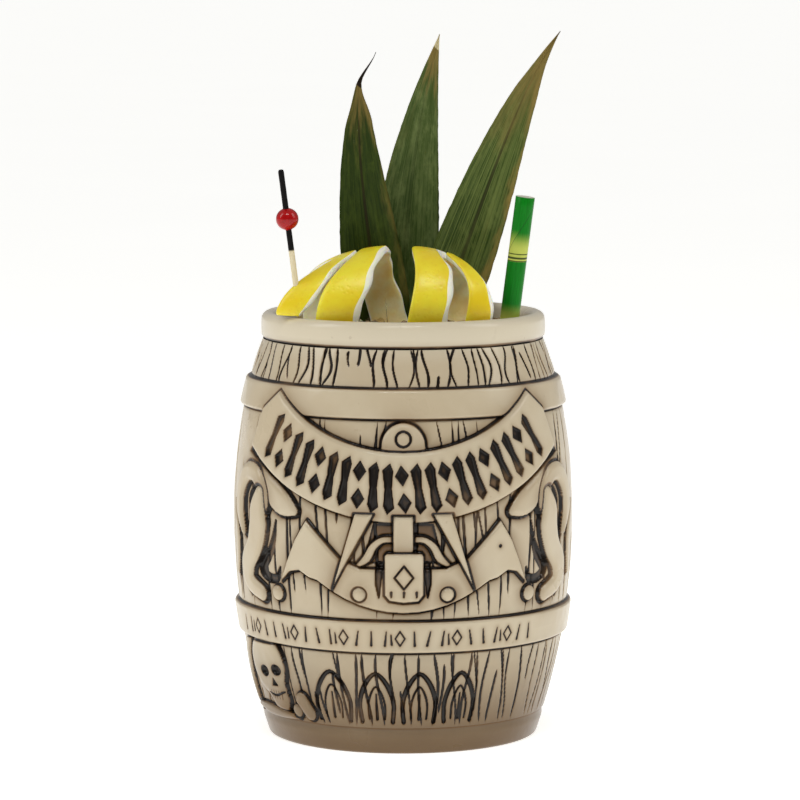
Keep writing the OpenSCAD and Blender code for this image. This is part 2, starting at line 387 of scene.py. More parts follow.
def grain_strokes():
    """The grain cuts, each a place, two heights, slant, wave, its rate and phase, width and depth."""
    strokes = []
    for low, high, spacing, through, seed in GRAIN_ZONES:
        rng = random.Random(seed)
        for k in range(int(TURN / spacing)):
            place = k * spacing + rng.uniform(-1.2, 1.2) - TURN / 2
            span = high - low
            a, b = low, high
            if rng.random() > through:
                length = span * rng.uniform(0.3, 0.75)
                a = rng.choice((low, high - length, low + rng.uniform(0, span - length)))
                b = a + length
            most = min(0.12, 2.5 / span)
            slant, wave, rate, phase = (rng.uniform(-most, most), rng.uniform(0.5, 1.4),
                                        rng.uniform(2.5, 6.0) / span, rng.uniform(0, 6.28))
            width, depth = rng.uniform(0.4, 0.68), rng.uniform(0.4, 0.85)
            strokes.append((place, a, b, slant, wave, rate, phase, width, depth))
            if rng.random() < FORK_SHARE:
                part = a + (b - a) * rng.uniform(0.4, 0.65)
                turn = rng.choice((-1, 1)) * rng.uniform(0.08, 0.18)
                strokes.append((place + slant * (part - a), part, b, slant + turn, wave, rate, phase,
                                rng.uniform(0.34, 0.48), 0.5))
    return strokes


def carve_grain(clay, columns):
    """Irregular cuts that run down the staves."""
    low, high = clay.z.min(), clay.z.max()
    for place, a, b, slant, wave, rate, phase, width, depth in grain_strokes():
        if b < low or a > high:
            continue
        gap = (columns - place + TURN / 2) % TURN - TURN / 2
        near = np.abs(gap) < STROKE_REACH
        if not near.any():
            continue
        if abs(place) > FRONT_REACH:
            width = max(width, BACK_STROKE)
        z = clay.z[:, near]
        t = (z - a) / (b - a)
        taper = np.sqrt(np.clip(np.minimum(t, 1 - t) * 7, 0, 1)) * ((t > 0) & (t < 1))
        line = gap[near][None, :] - slant * (z - a) - wave * np.sin(rate * z + phase)
        g = np.clip(1 - (line / (width * np.maximum(taper, 0.05))) ** 2, 0, 1) * taper
        clay.h[:, near] -= depth * g
        clay.stain[:, near] = np.maximum(clay.stain[:, near], smoothstep(g, 0.05, 0.75))
        # Painted shade: brown wash darkens the staves beside each grain cut.
        wash_and_shade = 0.45 * taper * np.exp(-np.abs(line) / 0.9)
        clay.wash_and_shade[:, near] = np.maximum(clay.wash_and_shade[:, near], wash_and_shade)


def carve_ticks(clay):
    """Small plain ticks and lozenges cut in the lower hoop."""
    u, z = clay.u, clay.z
    rng = random.Random(5)
    middle = sum(LOWER_HOOP) / 2 - 0.2
    for k in range(25):
        cu, lean = -64.0 + 4.5 * k, rng.uniform(-0.5, 0.5)
        if k % 4 == 2:
            box = [(cu, middle + 2.3), (cu + 1.5, middle), (cu, middle - 2.3), (cu - 1.5, middle)]
            clay.cut(np.abs(sd_polygon(u, z, box)) - 0.26, 0.4)
        else:
            tick = [(cu - lean, middle + 2.2, 0.2), (cu + lean, middle - 2.2, 0.42)]
            clay.cut(sd_stroke(u, z, tick), 0.4)
            if k % 4 == 1:
                small = [(cu + 1.7, middle + 1.2, 0.2), (cu + 1.9, middle - 1.9, 0.36)]
                clay.cut(sd_stroke(u, z, small), 0.4)


def hoop_rise(z):
    """Height of the two hoops over the staves, and how near each height is to a hoop's foot."""
    rise, foot = np.zeros(z.shape), np.zeros(z.shape)
    for low, high in (LOWER_HOOP, UPPER_HOOP):
        inside = np.minimum(z - low, high - z)
        rise = np.maximum(rise, HOOP_H * np.sqrt(1 - (1 - np.clip(inside, 0, 1)) ** 2))
        foot = np.maximum(foot, np.exp(-(((inside + 0.2) / 0.42) ** 2)))
    return rise, foot


def carved(columns, rows):
    """The carving of one stretch of the barrel."""
    u, z = np.meshgrid(columns, rows)
    clay = Carving(u, z)
    carve_grain(clay, columns)
    if rows[0] < LOWER_HOOP[0]:
        carve_arches(clay)
        carve_skull(clay)
    rise, foot = hoop_rise(z)
    hoop = rise > 0
    clay.h = np.where(hoop, rise, clay.h - 0.4 * foot)
    clay.stain = np.maximum(np.where(hoop, 0, clay.stain), 0.95 * foot)
    # Painted shade: brown wash in the corner at each hoop's foot.
    clay.wash_and_shade = np.maximum(np.where(hoop, 0, clay.wash_and_shade), 0.7 * foot)
    if rows[0] < LOWER_HOOP[1]:
        carve_ticks(clay)
    if rows[-1] > LOWER_HOOP[1]:
        carve_scroll(clay, -1)
        carve_scroll(clay, 1)
        carve_tab(clay)
        carve_banner(clay)
        carve_plate(clay)
    # Painted shade: brown wash over the recessed staves, where the surface is not raised.
    clay.wash_and_shade = np.maximum(clay.wash_and_shade, 0.14 * (1 - smoothstep(clay.h, 0.2, 0.9)))
    clay.h += 0.11 * lattice(u, z, 9.0, 11.0, 3)
    clay.h += 0.05 * lattice(u, z, 2.6, 4.0, 4)
    return clay


# ---------------- the mug's surface

FRONT_HALF = math.radians(97)
FRONT_REACH = FRONT_HALF * BELLY_R
FRONT_STEP = 0.28
BACK_STEP = 0.5
BACK_EVERY = 2  # the back keeps every second row
BACK_STROKE = 1.25 * BACK_STEP  # least half width of a cut there, so that its line stays whole
LATHE_STEP = 1.3
LATHE_WOBBLE = 0.12


def mug_columns():
    """Places round the barrel, close together at the front, and how many of them are at the front."""
    front = np.arange(-FRONT_REACH, FRONT_REACH, FRONT_STEP)
    count = int((TURN - 2 * FRONT_REACH) / BACK_STEP)
    back = np.linspace(FRONT_REACH, TURN - FRONT_REACH, count + 2)[1:-1]
    return np.concatenate([front, back]), len(front)


def ring_points(columns, radius, z):
    """Points of a grid whose radius and height are rows by columns."""
    angle = np.broadcast_to(columns / BELLY_R, radius.shape)
    z = np.broadcast_to(z, radius.shape)
    return np.stack([radius * np.sin(angle), -radius * np.cos(angle), z], -1)


def zone_faces(rows, columns, front):
    """Quads at the front, and taller faces at the back that take in the front's points at the seams."""
    kept = sorted(set(range(0, rows, BACK_EVERY)) | {rows - 1})
    faces = [(i * columns + j, i * columns + j + 1, (i + 1) * columns + j + 1, (i + 1) * columns + j)
             for i in range(rows - 1) for j in range(front - 1)]
    for a, b in zip(kept, kept[1:]):
        for j in range(front - 1, columns):
            k = (j + 1) % columns
            right = [i * columns + k for i in (range(a, b + 1) if k == 0 else (a, b))]
            left = [i * columns + j for i in (range(b, a - 1, -1) if j == front - 1 else (b, a))]
            faces.append(tuple(right + left))
    return faces


def trimmed(points, faces, *layers):
    """The same mesh without points that no face uses."""
    used = np.unique(np.concatenate([np.asarray(f) for f in faces]))
    place = np.full(len(points), -1)
    place[used] = np.arange(len(used))
    table = place.tolist()
    return points[used], [tuple(table[i] for i in f) for f in faces], [layer[used] for layer in layers]


def barrel_piece(name, low, high, material):
    """A carved stretch of the barrel's outside."""
    columns, front = mug_columns()
    rows = np.linspace(low, high, int(round((high - low) / FRONT_STEP)) + 1)
    clay = carved(columns, rows)
    radius = side_r(rows)[:, None] + clay.h
    points = ring_points(columns, radius, rows[:, None]).reshape(-1, 3)
    points, faces, (stain, wash_and_shade) = trimmed(points, zone_faces(len(rows), len(columns), front),
                                           clay.stain.ravel(), clay.wash_and_shade.ravel())
    make_piece(name, points, faces, {"stain": stain, "wash_and_shade": wash_and_shade}, material,
               "mug", ["mug_body"])


def lathe_rows(profile, columns):
    """Points of a turned surface, with a slight swell in it."""
    radius = np.array([r for r, _ in profile])[:, None] + np.zeros(len(columns))[None, :]
    z = np.array([h for _, h in profile])[:, None]
    u = np.broadcast_to(columns, radius.shape)
    swell = LATHE_WOBBLE * lattice(u, z + radius, 14.0, 14.0, 6)
    radius = np.maximum(radius + swell * smoothstep(radius, 5, 30), 0.02)
    return ring_points(columns, radius, z)


def lathe_piece(name, profile, stains, material):
    """A plain turned stretch of the mug, with a stain for each point of its profile."""
    columns = np.linspace(0, TURN, int(TURN / LATHE_STEP) + 1)[:-1]
    points = lathe_rows(profile, columns)
    stain = np.repeat(np.asarray(stains, float), len(columns))
    faces = ring_faces(len(profile), len(columns))
    # Painted shade: brown wash follows the stain, under the lip and at the top of the foot band.
    make_piece(name, points.reshape(-1, 3), faces, {"stain": stain, "wash_and_shade": stain * 0.7}, material,
               "mug", ["mug_body"])


def rounded(points, radius):
    """A profile of (r, z) points with its corners rounded."""
    out, steps = [points[0]], 4
    for a, b, c in zip(points, points[1:], points[2:]):
        a, b, c = Vector(a), Vector(b), Vector(c)
        cut = min(radius, (a - b).length * 0.45, (c - b).length * 0.45)
        p, q = b + (a - b).normalized() * cut, b + (c - b).normalized() * cut
        for k in range(steps + 1):
            t = k / steps
            out.append(tuple(p * (1 - t) ** 2 + b * 2 * t * (1 - t) + q * t * t))
    return out + [points[-1]]


def foot_profile():
    """Underside, foot and foot band, up to the first staves."""
    top = float(side_r(BASE_TOP))
    outline = [(0.02, RECESS_H), (RECESS_R, RECESS_H), (RECESS_R + RECESS_H, 0), (FOOT_R, 0),
               (top - 0.1, BASE_TOP - 1.6), (top - 0.2, BASE_TOP), (top - 0.2, BASE_TOP + 1.1)]
    return rounded(outline, 1.1)


def lip_profile():
    """Rim band, rolled lip, bowl and floor."""
    start = float(side_r(RIM_BAND))
    band = [(start - 0.6, RIM_BAND - 0.6), (start - 0.1, RIM_BAND - 0.1), (LIP_R, RIM_BAND + 0.9)]
    straight = [(LIP_R + 0.1, RIM_BAND + 2.6), (LIP_R + 0.05, RIM_BAND + 4.2)]
    lip = [(LIP_R - LIP_ROUND + LIP_ROUND * math.cos(a), MUG_H - LIP_ROUND + LIP_ROUND * math.sin(a))
           for a in np.linspace(0, math.pi, 11)]
    corner = 8.0
    low = FLOOR_T + corner
    bowl = [(float(side_r(h)) - WALL, h) for h in np.linspace(RIM_BAND, low, 16)]
    inner = float(side_r(low)) - WALL - corner
    turn = [(inner + corner * math.cos(a), FLOOR_T + corner * (1 - math.sin(a)))
            for a in np.linspace(0.3, math.pi / 2, 6)]
    return band + straight + lip + bowl + turn + [(inner * 0.5, FLOOR_T), (0.02, FLOOR_T)]


# ---------------- material helpers


class Nodes:
    """Short names for building the nodes of a material, or of the world."""

    def __init__(self, name, kind=bpy.data.materials, shader="Principled BSDF"):
        self.material = kind.new(name)
        self.material.use_nodes = True
        self.tree = self.material.node_tree
        self.shader = self.tree.nodes[shader]

    def add(self, kind, settings=None, **inputs):
        node = self.tree.nodes.new(kind)
        for key, value in (settings or {}).items():
            setattr(node, key, value)
        for key, value in inputs.items():
            self.link(node, key.replace("_", " ") if not key.startswith("i") else int(key[1:]), value)
        return node

    def link(self, node, key, value):
        socket = node.inputs[key]
        if isinstance(value, bpy.types.NodeSocket):
            self.tree.links.new(value, socket)
        else:
            socket.default_value = (*value, 1) if socket.type == "RGBA" else value

    def attribute(self, name, output="Fac"):
        return self.add("ShaderNodeAttribute", {"attribute_name": name}).outputs[output]

    def coordinates(self, scale=(1, 1, 1)):
        place = self.add("ShaderNodeTexCoord").outputs["Object"]
        return self.add("ShaderNodeMapping", None, Vector=place, Scale=scale).outputs[0]

    def noise(self, scale, detail, rough, vector):
        return self.add("ShaderNodeTexNoise", None, Scale=scale, Detail=detail, Roughness=rough,
                        Vector=vector).outputs["Fac"]

    def math(self, operation, a, b=0.0):
        return self.add("ShaderNodeMath", {"operation": operation}, i0=a, i1=b).outputs[0]

    def times(self, a, b):
        return self.math("MULTIPLY", a, b)

    def plus(self, a, b):
        return self.math("ADD", a, b)

    def ramp(self, value, low, high, out_low=0.0, out_high=1.0):
        return self.add("ShaderNodeMapRange", {"interpolation_type": "SMOOTHSTEP"}, i0=value, i1=low,
                        i2=high, i3=out_low, i4=out_high).outputs[0]

    def mix(self, factor, a, b):
        node = self.add("ShaderNodeMix", {"data_type": "RGBA"})
        self.link(node, 0, factor)
        self.link(node, 6, a)
        self.link(node, 7, b)
        return node.outputs[2]

    def parts(self, vector):
        return self.add("ShaderNodeSeparateXYZ", None, Vector=vector).outputs

    def streaks(self, x, y, wide, long, detail=3, rough=0.6):
        """Noise stretched by different scales along two measures."""
        place = self.add("ShaderNodeCombineXYZ", None, X=self.times(x, wide), Y=self.times(y, long))
        return self.noise(1.0, detail, rough, place.outputs[0])

    def bump(self, height, strength, distance):
        node = self.add("ShaderNodeBump", None, Height=height, Strength=strength, Distance=distance)
        self.tree.links.new(node.outputs[0], self.shader.inputs["Normal"])

    def set(self, **inputs):
        for key, value in inputs.items():
            self.link(self.shader, key.replace("_", " "), value)


IVORY = (0.56, 0.465, 0.32)
IVORY_PALE = (0.66, 0.585, 0.44)
TAN = (0.20, 0.108, 0.036)
BROWN = (0.17, 0.078, 0.020)
STAIN = (0.007, 0.0035, 0.0015)
# Tan towards the foot, partly painted shade low on the mug.
LOW_SHADE_TAN = (0.13, 0.070, 0.022)


def ceramic():
    """Ivory glaze over brown stain that sits in the cuts, with a brown wash round the carving that is
    partly painted shade, and darker towards the foot, also partly painted shade.
    """
    n = Nodes("ivory_stained_glaze")
    place = n.coordinates()
    height = n.parts(place)[2]
    clouds = n.noise(45, 4, 0.55, place)
    specks = n.noise(420, 3, 0.6, place)
    lip = n.ramp(height, 0.119, 0.127)
    pale = n.math("MAXIMUM", n.times(n.ramp(clouds, 0.35, 0.7), 0.5), lip)
    base = n.mix(pale, IVORY, IVORY_PALE)
    # Darker tan towards the foot: glaze colour that also paints in the shade low on the mug.
    low = n.times(n.ramp(n.plus(height, n.times(clouds, -0.01)), 0.036, -0.004), 0.95)
    base = n.mix(low, base, LOW_SHADE_TAN)
    # Painted shade: the brown wash round the carving is mixed in as TAN.
    wash_and_shade = n.times(n.attribute("wash_and_shade"), n.ramp(clouds, 0.3, 0.56, 0.45, 1.0))
    base = n.mix(n.times(wash_and_shade, 0.85), base, TAN)
    freckle = n.times(n.ramp(specks, 0.66, 0.8), 0.22)
    base = n.mix(freckle, base, TAN)
    stain = n.ramp(n.attribute("stain"), 0.06, 0.8)
    broken = n.times(stain, n.ramp(n.noise(240, 3, 0.6, place), 0.22, 0.5, 0.86, 1.0))
    base = n.mix(n.times(n.ramp(broken, 0.02, 0.4), 0.85), base, BROWN)
    broken = n.times(broken, n.ramp(clouds, 0.36, 0.6, 0.55, 1.0))
    n.set(Base_Color=n.mix(n.ramp(broken, 0.25, 0.75), base, STAIN))
    n.set(Roughness=n.plus(n.ramp(clouds, 0.3, 0.7, 0.27, 0.36), n.times(stain, 0.18)))
    n.shader.inputs["Specular IOR Level"].default_value = 0.2
    n.shader.inputs["Coat Weight"].default_value = 0.35
    n.shader.inputs["Coat Roughness"].default_value = 0.07
    n.bump(n.plus(specks, n.times(clouds, 2.0)), 0.12, 0.0006)
    return n.material


def rind():
    """Yellow zest outside with oil pores, white pith at the cut edge and creamy pith inside."""
    n = Nodes("lemon_zest_and_pith")
    place = n.coordinates()
    layer = n.attribute("layer")
    pores = n.add("ShaderNodeTexVoronoi", None, Vector=place, Scale=760.0).outputs["Distance"]
    tone = n.noise(70, 4, 0.55, place)
    zest = n.mix(n.ramp(tone, 0.3, 0.7), (0.80, 0.60, 0.008), (0.88, 0.76, 0.035))
    zest = n.mix(n.times(n.ramp(pores, 0.35, 0.08), 0.18), zest, (0.72, 0.46, 0.006))
    cream = n.mix(n.ramp(tone, 0.36, 0.6), (0.90, 0.70, 0.28), (0.98, 0.92, 0.60))
    pith = n.mix(n.ramp(layer, 0.08, 0.3), cream, (0.95, 0.92, 0.76))
    n.set(Base_Color=n.mix(n.ramp(layer, 0.66, 0.76), pith, zest))
    n.set(Roughness=n.ramp(layer, 0.5, 0.8, 0.55, 0.34))
    n.shader.inputs["Subsurface Weight"].default_value = 0.6
    n.shader.inputs["Subsurface Radius"].default_value = (1.0, 0.75, 0.3)
    n.shader.inputs["Subsurface Scale"].default_value = 0.004
    rough = n.times(n.noise(900, 3, 0.6, place), n.ramp(layer, 0.72, 0.5))
    n.bump(n.plus(n.ramp(pores, 0.0, 0.5), rough), 0.16, 0.0004)
    return n.material


def leaf(name, green, pale, tip, veins, fold, brown_side, brown, wither, tip_from):
    """Frond with long veins, a dark crease, a withered tip, withered patches on one side and painted
    shade towards its foot.
    """
    n = Nodes(name)
    across, along, _ = n.parts(n.attribute("blade", "Vector"))
    vein = n.streaks(across, along, 26.0, 2.5)
    bloom = n.streaks(across, along, 3.0, 9.0, 5, 0.7)
    patch = n.streaks(across, along, 1.3, 5.0, 4)
    mottle = n.noise(190, 5, 0.7, n.coordinates((1, 1, 0.45)))
    base = n.mix(n.times(n.ramp(vein, 0.35, 0.7), veins), green, pale)
    base = n.mix(n.times(n.ramp(bloom, 0.42, 0.7), 0.45), base, pale)
    base = n.mix(n.times(n.ramp(mottle, 0.48, 0.72), 0.55), base, pale)
    # Painted shade: the blade turns darker green towards its foot, down in the mug behind the peel.
    base = n.mix(n.ramp(along, 0.42, 0.15, 0.0, 0.6), base, green)
    middle = n.ramp(n.math("ABSOLUTE", across), 0.10, 0.0)
    crease = n.times(middle, n.ramp(along, 0.2, 0.6, 0.4 * fold, fold))
    base = n.mix(crease, base, (0.022, 0.014, 0.004))
    side = n.ramp(n.times(across, brown_side), 0.25, 1.0)
    edge = n.times(n.times(side, n.ramp(patch, 0.47, 0.62)), brown)
    base = n.mix(edge, base, (0.27, 0.20, 0.05))
    far = n.plus(along, n.times(n.math("SUBTRACT", n.plus(patch, bloom), 1.0), 0.3))
    base = n.mix(n.times(n.ramp(far, wither, 0.96), 0.85), base, (0.24, 0.165, 0.045))
    base = n.mix(n.ramp(n.plus(along, n.times(across, 0.006)), tip_from, tip_from + 0.004), base, tip)
    marks = n.ramp(n.streaks(across, along, 7.0, 38.0, 2, 0.5), 0.74, 0.8)
    base = n.mix(n.times(marks, 0.4), base, (0.30, 0.32, 0.22))
    n.set(Base_Color=base, Roughness=n.ramp(mottle, 0.3, 0.7, 0.4, 0.56))
    n.shader.inputs["Specular IOR Level"].default_value = 0.15
    n.bump(n.plus(n.times(vein, veins), bloom), 0.45, 0.0006)
    return n.material


STRAW_L = 165.0
STRAW_NODE = 17.6
STRAW_PERIOD = 23.0
STRAW_WIND = 38.0


def wrap_measures(n):
    """Turn round a rod, from -0.5 to 0.5, and the distance along it."""
    x, y, along = n.parts(n.attribute("wrap", "Vector"))
    return n.math("DIVIDE", n.math("ARCTAN2", y, x), 2 * math.pi), along


def straw_paper():
    """Printed bamboo: green joints that fade to yellow above each pair of dark rings, on wound paper."""
    n = Nodes("bamboo_print_paper")
    turn, along = wrap_measures(n)
    down = n.math("SUBTRACT", STRAW_L, along)
    wind = n.math("FRACT", n.plus(n.math("DIVIDE", down, STRAW_WIND), n.plus(turn, 4.0)))
    slip = n.times(n.ramp(wind, 0.0, 1.0), 0.7)
    phase = n.plus(n.math("SUBTRACT", down, STRAW_NODE), slip)
    cell = n.times(n.math("FRACT", n.plus(n.math("DIVIDE", phase, STRAW_PERIOD), 8.0)), STRAW_PERIOD)
    fibre = n.streaks(turn, down, 60.0, 0.12)
    green = n.mix(n.ramp(fibre, 0.3, 0.7), (0.001, 0.150, 0.004), (0.003, 0.215, 0.010))
    yellow = (0.50, 0.56, 0.10)
    colour = n.mix(n.ramp(cell, STRAW_PERIOD - 7.0, STRAW_PERIOD - 1.0), green, yellow)
    colour = n.mix(n.ramp(cell, 2.9, 2.3), colour, yellow)
    for at, width in ((0.25, 0.22), (1.55, 0.42), (2.5, 0.2)):
        ring = n.ramp(n.math("ABSOLUTE", n.math("SUBTRACT", cell, at)), width, width * 0.5)
        colour = n.mix(n.times(ring, 0.92), colour, (0.012, 0.022, 0.008))
    seam = n.ramp(n.math("ABSOLUTE", n.math("SUBTRACT", wind, 0.5)), 0.488, 0.499)
    colour = n.mix(n.times(seam, 0.55), colour, (0.01, 0.03, 0.01))
    inside = n.attribute("inside")
    n.set(Base_Color=n.mix(inside, colour, (0.78, 0.76, 0.68)))
    n.set(Roughness=n.ramp(inside, 0.2, 0.8, 0.36, 0.8))
    n.shader.inputs["Specular IOR Level"].default_value = 0.15
    n.bump(n.plus(fibre, n.times(seam, -3.0)), 0.18, 0.0002)
    return n.material


def pick_wood():
    """Natural bamboo below, black paint above with an uneven edge."""
    n = Nodes("painted_bamboo_stick")
    turn, along = wrap_measures(n)
    fibre = n.streaks(turn, along, 30.0, 0.2, 4, 0.65)
    wood = n.mix(n.ramp(fibre, 0.3, 0.7), (0.66, 0.55, 0.33), (0.84, 0.77, 0.56))
    edge = n.plus(along, n.times(n.math("SUBTRACT", fibre, 0.5), 1.2))
    paint = n.ramp(edge, PAINT_FROM - 0.3, PAINT_FROM + 0.3)
    n.set(Base_Color=n.mix(paint, wood, (0.008, 0.007, 0.007)))
    n.set(Roughness=n.ramp(paint, 0.2, 0.8, 0.62, 0.45))
    n.shader.inputs["Specular IOR Level"].default_value = 0.06
    n.bump(fibre, 0.3, 0.0002)
    return n.material


def bead_gloss():
    """Glossy red lacquer with faint depth in its colour."""
    n = Nodes("red_lacquered_bead")
    tone = n.noise(260, 3, 0.5, n.coordinates())
    n.set(Base_Color=n.mix(n.ramp(tone, 0.3, 0.7), (0.30, 0.001, 0.002), (0.44, 0.003, 0.005)))
    n.set(Roughness=n.ramp(tone, 0.3, 0.7, 0.12, 0.2))
    n.shader.inputs["Specular IOR Level"].default_value = 0.3
    n.shader.inputs["Coat Weight"].default_value = 0.1
    n.shader.inputs["Coat Roughness"].default_value = 0.04
    n.bump(tone, 0.06, 0.0004)
    return n.material


def ice_glass():
    """Cloudy crushed ice, wet with the drink."""
    n = Nodes("crushed_ice")
    cloud = n.noise(160, 4, 0.6, n.coordinates())
    n.set(Base_Color=n.mix(n.ramp(cloud, 0.35, 0.7), (0.86, 0.70, 0.44), (0.93, 0.88, 0.78)))
    n.set(Roughness=n.ramp(cloud, 0.3, 0.7, 0.08, 0.3))
    n.shader.inputs["Transmission Weight"].default_value = 0.8
    n.shader.inputs["IOR"].default_value = 1.31
    n.bump(cloud, 0.4, 0.001)
    return n.material


def drink_amber():
    """Dark amber drink seen from above."""
    n = Nodes("amber_drink")
    swirl = n.noise(60, 4, 0.6, n.coordinates())
    n.set(Base_Color=n.mix(n.ramp(swirl, 0.3, 0.7), (0.10, 0.035, 0.008), (0.26, 0.12, 0.03)))
    n.set(Roughness=n.ramp(swirl, 0.3, 0.7, 0.05, 0.12))
    n.shader.inputs["Coat Weight"].default_value = 0.3
    return n.material


# ---------------- the mug

BARREL_CUTS = (BASE_TOP + 1.0, 38.0, 67.0, 96.5, RIM_BAND - 0.4)
BARREL_NAMES = ("mug_low_staves", "mug_carved_plate", "mug_carved_sash", "mug_neck_staves")


def build_mug():
    glaze = ceramic()
    for name, low, high in zip(BARREL_NAMES, BARREL_CUTS, BARREL_CUTS[1:]):
        barrel_piece(name, low, high, glaze)
    foot = foot_profile()
    lathe_piece("mug_foot", foot, [0.0] * (len(foot) - 3) + [0.1, 0.3, 0.4], glaze)
    lip = lip_profile()
    lathe_piece("mug_lip_and_bowl", lip, [0.8, 0.7, 0.2] + [0.0] * (len(lip) - 3), glaze)


# ---------------- garnish shapes

JOINT_AXIS = {j["child"]: Vector(j["axis"]).normalized() for j in frame["joints"]}


def leaning_frame(axis):
    """Two unit vectors square to an axis and to each other."""
    side = Vector((0, 1, 0)).cross(axis).normalized()
    return side, axis.cross(side)


def rod_piece(name, foot, axis, rows, material, body, nodes, sides, inside=None):
    """A turned piece along a leaning axis, from (distance, radius) rows.

    With inside, a tone for each row, the last row joins the first. Without it, both ends are capped.
    """
    side, other = leaning_frame(axis)
    points, wrap = [], []
    for distance, radius in rows:
        for k in range(sides):
            a = 2 * math.pi * k / sides
            out = side * math.cos(a) + other * math.sin(a)
            points.append(tuple(foot + axis * distance + out * radius))
            wrap.append((math.cos(a), math.sin(a), distance))
    faces = ring_faces(len(rows), sides)
    last = (len(rows) - 1) * sides
    layers = {"wrap": wrap}
    if inside is not None:
        layers["inside"] = np.repeat(np.asarray(inside, float), sides)
        faces += [(last + j, last + (j + 1) % sides, (j + 1) % sides, j) for j in range(sides)]
    else:
        faces += [tuple(range(sides - 1, -1, -1)), tuple(last + j for j in range(sides))]
    make_piece(name, points, faces, layers, material, body, nodes)


def node_axis(node, body):
    """Middle and axis of a straight leaning CAD piece, from its box and its joint's axis."""
    low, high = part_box(node)
    return (low + high) / 2 / MM, JOINT_AXIS[body]


def build_straw():
    middle, axis = node_axis("paper_straw", "straw")
    radius, wall = 3.0, 0.4
    foot = middle - axis * (STRAW_L / 2)
    rings = np.linspace(0, STRAW_L, 56)
    outer = [(float(d), radius) for d in rings]
    crown = [(STRAW_L + 0.12, radius - 0.1), (STRAW_L + 0.12, radius - wall + 0.08)]
    inner = [(float(d), radius - wall) for d in rings[::-1]]
    inside = [0.0] * len(outer) + [0.5, 0.9] + [1.0] * len(inner)
    rod_piece("straw_tube", foot, axis, outer + crown + inner, straw_paper(), "straw", ["paper_straw"],
              56, inside)


PICK_L = 80.0
BEAD_AT = 64.5
PAINT_FROM = 54.6


def build_pick():
    middle, axis = node_axis("pick_stick", "pick")
    foot = middle - axis * (PICK_L / 2)
    rows = [(0.0, 0.05), (1.2, 0.35), (3.2, 0.82), (5.0, 0.9)]
    rows += [(float(d), 0.9 + 0.015 * math.sin(d * 1.3)) for d in np.linspace(7, PICK_L - 0.8, 40)]
    rows += [(PICK_L - 0.3, 0.82), (PICK_L, 0.6)]
    rod_piece("pick_painted_stick", foot, axis, rows, pick_wood(), "pick", ["pick_stick"], 28)
    bead_r, half_h, hole, cut = 3.5, 3.3, 0.88, 1.32
    rows = [(BEAD_AT - half_h + 0.25, hole), (BEAD_AT - half_h, hole + 0.25)]
    for a in np.linspace(-cut, cut, 30):
        rows.append((BEAD_AT + half_h * math.sin(a) / math.sin(cut), bead_r * math.cos(a) ** 0.96))
    rows += [(BEAD_AT + half_h, hole + 0.25), (BEAD_AT + half_h - 0.25, hole)]
    rod_piece("pick_round_bead", foot, axis, rows, bead_gloss(), "pick", ["pick_bead"], 48,
              [0.0] * len(rows))


# Lemon peel, the same winding as its CAD solid. Angles run round the lemon's long axis, in degrees.
LEMON_R, LEMON_HALF, LEMON_MID = 18.4, 47.7, 2.0
RIND_T, RIND_W = 2.6, 11.0
PEEL_MID = (-3.0, -12.1, MUG_H + 1.8)
PEEL_START, PEEL_SWEEP = -4.0, 1170.0
PEEL_FIRST, PEEL_PITCH, PEEL_SWAY, PEEL_SHIFT = -28.3, 17.2, 4.3, 5.0
PEEL_WIDER, PEEL_FACE = (0.8, 0.2, 0.05, 0.0), 15.0
RIPPLE_STEPS = 12


def peel_point(t, r, w):
    """A point at t along the peel, r out from the middle of the rind and w across it."""
    a = math.radians(PEEL_START + PEEL_SWEEP * t)
    n = a / (2 * math.pi)
    taper = min(1.0, 0.4 + 4.5 * t, 0.3 + 5.2 * (1 - t))
    taper *= 1 + PEEL_WIDER[max(0, round(n))] * max(0.0, math.cos(a - math.radians(PEEL_FACE))) ** 6
    along = PEEL_FIRST + PEEL_PITCH * n - PEEL_SWAY * math.sin(a / 3)
    if 0 < n < 1:
        along += PEEL_SHIFT * math.sin(math.pi * math.sqrt(n)) ** 2
    fan = 1.18 - 0.48 * ((1 + math.sin(a)) / 2) ** 6 - 0.12 * ((1 - math.sin(a)) / 2) ** 2
    x = along + w * taper * (1 + 1 / fan) / 2
    g = LEMON_R * math.sqrt(1 - ((x - LEMON_MID) / LEMON_HALF) ** 2) + r
    return (PEEL_MID[0] + x * fan, PEEL_MID[1] - g * math.cos(a), PEEL_MID[2] + g * math.sin(a))


